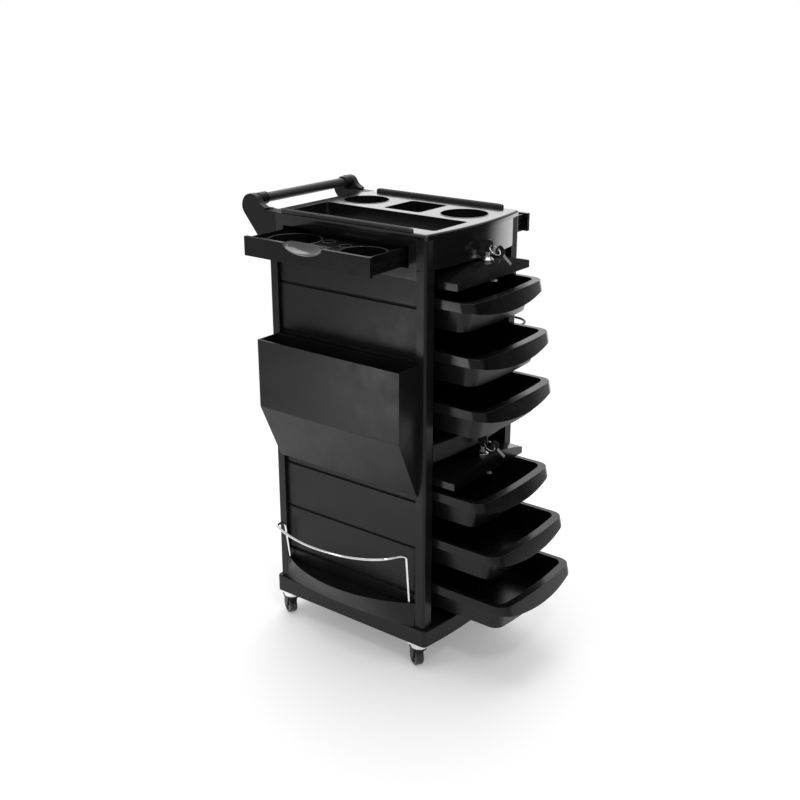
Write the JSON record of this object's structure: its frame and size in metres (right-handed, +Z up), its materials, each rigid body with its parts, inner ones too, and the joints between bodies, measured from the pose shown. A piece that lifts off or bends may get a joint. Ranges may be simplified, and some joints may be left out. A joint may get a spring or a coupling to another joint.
{
  "type": "spa trolley",
  "caption": "Tall spa trolley with pull-out trays in lockable bays under a compartment top, side drawers, file pocket, bottle shelf with wire rail, push handle and braked swivel casters.",
  "frame": {"origin": "on the floor, under the middle of the trolley as it stands with its trays partly out", "axes": "+Z up; the trays slide out toward -Y; the push handle is at +Y; the file pocket and bottle shelf are on the -X side"},
  "size_m": [0.542, 0.6631, 0.957],
  "materials": {
    "satin_black_plastic": "satin, lightly textured",
    "gloss_black_plastic": "high gloss",
    "black_rubber": "ribbed, matt",
    "tyre_black": "smooth",
    "chrome": "polished",
    "brushed_metal": "nickel plated"
  },
  "bodies": {
    "trolley_body": {"plinth": "satin_black_plastic", "post_front_left": "satin_black_plastic", "post_front_right": "satin_black_plastic", "post_rear_left": "satin_black_plastic", "post_rear_right": "satin_black_plastic", "side_panel_left": "satin_black_plastic", "side_panel_right": "satin_black_plastic", "rear_panel": "satin_black_plastic", "runner_liner_left": "satin_black_plastic", "runner_liner_right": "satin_black_plastic", "crossbar": "satin_black_plastic", "top_housing": "gloss_black_plastic", "deck_tray": "gloss_black_plastic", "edge_rail_left": "black_rubber", "edge_rail_right": "black_rubber", "handle_arm_left": "satin_black_plastic", "handle_arm_right": "satin_black_plastic", "handle_tube": "satin_black_plastic", "file_pocket": "satin_black_plastic", "bottle_shelf": "satin_black_plastic", "bottle_rail": "chrome", "appliance_ring": "satin_black_plastic", "caster_plate_front_left": "chrome", "caster_plate_front_right": "chrome", "caster_plate_rear_left": "chrome", "caster_plate_rear_right": "chrome"},
    "drawer_1": {"drawer_1": "satin_black_plastic"},
    "drawer_2": {"drawer_2": "satin_black_plastic"},
    "drawer_3": {"drawer_3": "satin_black_plastic"},
    "drawer_4": {"drawer_4": "satin_black_plastic"},
    "drawer_5": {"drawer_5": "satin_black_plastic"},
    "drawer_6": {"drawer_6": "satin_black_plastic"},
    "side_drawer_left": {"side_drawer_left": "satin_black_plastic", "drawer_pull_left": "gloss_black_plastic"},
    "side_drawer_right": {"side_drawer_right": "satin_black_plastic", "drawer_pull_right": "gloss_black_plastic"},
    "door_upper": {"door_upper": "satin_black_plastic", "lock_barrel_upper": "chrome"},
    "lock_plug_upper": {"lock_plug_upper": "chrome"},
    "key_bunch_upper": {"key_ring_upper": "chrome", "spare_key_upper": "brushed_metal"},
    "door_lower": {"door_lower": "satin_black_plastic", "lock_barrel_lower": "chrome"},
    "lock_plug_lower": {"lock_plug_lower": "chrome"},
    "key_bunch_lower": {"key_ring_lower": "chrome", "spare_key_lower": "brushed_metal"},
    "caster_fork_front_left": {"caster_fork_front_left": "satin_black_plastic"},
    "caster_wheel_front_left": {"caster_wheel_front_left": "tyre_black"},
    "brake_pedal_front_left": {"brake_pedal_front_left": "chrome"},
    "caster_fork_front_right": {"caster_fork_front_right": "satin_black_plastic"},
    "caster_wheel_front_right": {"caster_wheel_front_right": "tyre_black"},
    "brake_pedal_front_right": {"brake_pedal_front_right": "chrome"},
    "caster_fork_rear_left": {"caster_fork_rear_left": "satin_black_plastic"},
    "caster_wheel_rear_left": {"caster_wheel_rear_left": "tyre_black"},
    "brake_pedal_rear_left": {"brake_pedal_rear_left": "chrome"},
    "caster_fork_rear_right": {"caster_fork_rear_right": "satin_black_plastic"},
    "caster_wheel_rear_right": {"caster_wheel_rear_right": "tyre_black"},
    "brake_pedal_rear_right": {"brake_pedal_rear_right": "chrome"}
  },
  "joints": [
    {"name": "drawer_1_slide", "type": "slide", "parent": "trolley_body", "child": "drawer_1", "axis": [0, -1, 0], "range_m": [-0.091, 0.166]},
    {"name": "drawer_2_slide", "type": "slide", "parent": "trolley_body", "child": "drawer_2", "axis": [0, -1, 0], "range_m": [-0.112, 0.145]},
    {"name": "drawer_3_slide", "type": "slide", "parent": "trolley_body", "child": "drawer_3", "axis": [0, -1, 0], "range_m": [-0.122, 0.135]},
    {"name": "drawer_4_slide", "type": "slide", "parent": "trolley_body", "child": "drawer_4", "axis": [0, -1, 0], "range_m": [-0.124, 0.133]},
    {"name": "drawer_5_slide", "type": "slide", "parent": "trolley_body", "child": "drawer_5", "axis": [0, -1, 0], "range_m": [-0.163, 0.094]},
    {"name": "drawer_6_slide", "type": "slide", "parent": "trolley_body", "child": "drawer_6", "axis": [0, -1, 0], "range_m": [-0.186, 0.071]},
    {"name": "side_drawer_left_slide", "type": "slide", "parent": "trolley_body", "child": "side_drawer_left", "axis": [-1, 0, 0], "range_m": [-0.112, 0.012]},
    {"name": "side_drawer_right_slide", "type": "slide", "parent": "trolley_body", "child": "side_drawer_right", "axis": [1, 0, 0], "range_m": [-0.112, 0.012]},
    {"name": "door_upper_slide", "type": "slide", "parent": "trolley_body", "child": "door_upper", "axis": [0, -1, 0], "range_m": [0, 0.25]},
    {"name": "lock_upper_turn", "type": "hinge", "parent": "door_upper", "child": "lock_plug_upper", "pos_m": [0, -0.17035, 0.8615], "axis": [0, 0, 1], "range_deg": [-90, 0]},
    {"name": "key_bunch_upper_lift", "type": "hinge", "parent": "lock_plug_upper", "child": "key_bunch_upper", "pos_m": [0, -0.17785, 0.885], "axis": [1, 0, 0], "range_deg": [-30, 0]},
    {"name": "door_lower_slide", "type": "slide", "parent": "trolley_body", "child": "door_lower", "axis": [0, -1, 0], "range_m": [0, 0.25]},
    {"name": "lock_lower_turn", "type": "hinge", "parent": "door_lower", "child": "lock_plug_lower", "pos_m": [0, -0.17035, 0.457], "axis": [0, 0, 1], "range_deg": [-90, 0]},
    {"name": "key_bunch_lower_lift", "type": "hinge", "parent": "lock_plug_lower", "child": "key_bunch_lower", "pos_m": [0, -0.17785, 0.4805], "axis": [1, 0, 0], "range_deg": [-30, 0]},
    {"name": "caster_front_left_swivel", "type": "hinge", "parent": "trolley_body", "child": "caster_fork_front_left", "pos_m": [-0.146, -0.12035, 0.048], "axis": [0, 0, 1], "continuous": true},
    {"name": "caster_front_left_roll", "type": "hinge", "parent": "caster_fork_front_left", "child": "caster_wheel_front_left", "pos_m": [-0.1395, -0.10909, 0.02], "axis": [-0.866, 0.5, 0], "continuous": true},
    {"name": "caster_front_left_brake", "type": "hinge", "parent": "caster_fork_front_left", "child": "brake_pedal_front_left", "pos_m": [-0.1325, -0.09697, 0.0415], "axis": [-0.866, 0.5, 0], "range_deg": [0, 15]},
    {"name": "caster_front_right_swivel", "type": "hinge", "parent": "trolley_body", "child": "caster_fork_front_right", "pos_m": [0.146, -0.12035, 0.048], "axis": [0, 0, 1], "continuous": true},
    {"name": "caster_front_right_roll", "type": "hinge", "parent": "caster_fork_front_right", "child": "caster_wheel_front_right", "pos_m": [0.14936, -0.10779, 0.02], "axis": [-0.9659, 0.2588, 0], "continuous": true},
    {"name": "caster_front_right_brake", "type": "hinge", "parent": "caster_fork_front_right", "child": "brake_pedal_front_right", "pos_m": [0.15299, -0.09427, 0.0415], "axis": [-0.9659, 0.2588, 0], "range_deg": [0, 15]},
    {"name": "caster_rear_left_swivel", "type": "hinge", "parent": "trolley_body", "child": "caster_fork_rear_left", "pos_m": [-0.146, 0.23965, 0.048], "axis": [0, 0, 1], "continuous": true},
    {"name": "caster_rear_left_roll", "type": "hinge", "parent": "caster_fork_rear_left", "child": "caster_wheel_rear_left", "pos_m": [-0.14051, 0.25143, 0.02], "axis": [-0.9063, 0.4226, 0], "continuous": true},
    {"name": "caster_rear_left_brake", "type": "hinge", "parent": "caster_fork_rear_left", "child": "brake_pedal_rear_left", "pos_m": [-0.13459, 0.26412, 0.0415], "axis": [-0.9063, 0.4226, 0], "range_deg": [0, 15]},
    {"name": "caster_rear_right_swivel", "type": "hinge", "parent": "trolley_body", "child": "caster_fork_rear_right", "pos_m": [0.146, 0.23965, 0.048], "axis": [0, 0, 1], "continuous": true},
    {"name": "caster_rear_right_roll", "type": "hinge", "parent": "caster_fork_rear_right", "child": "caster_wheel_rear_right", "pos_m": [0.14155, 0.25187, 0.02], "axis": [-0.9397, -0.342, 0], "continuous": true},
    {"name": "caster_rear_right_brake", "type": "hinge", "parent": "caster_fork_rear_right", "child": "brake_pedal_rear_right", "pos_m": [0.13676, 0.26502, 0.0415], "axis": [-0.9397, -0.342, 0], "range_deg": [0, 15]}
  ]
}
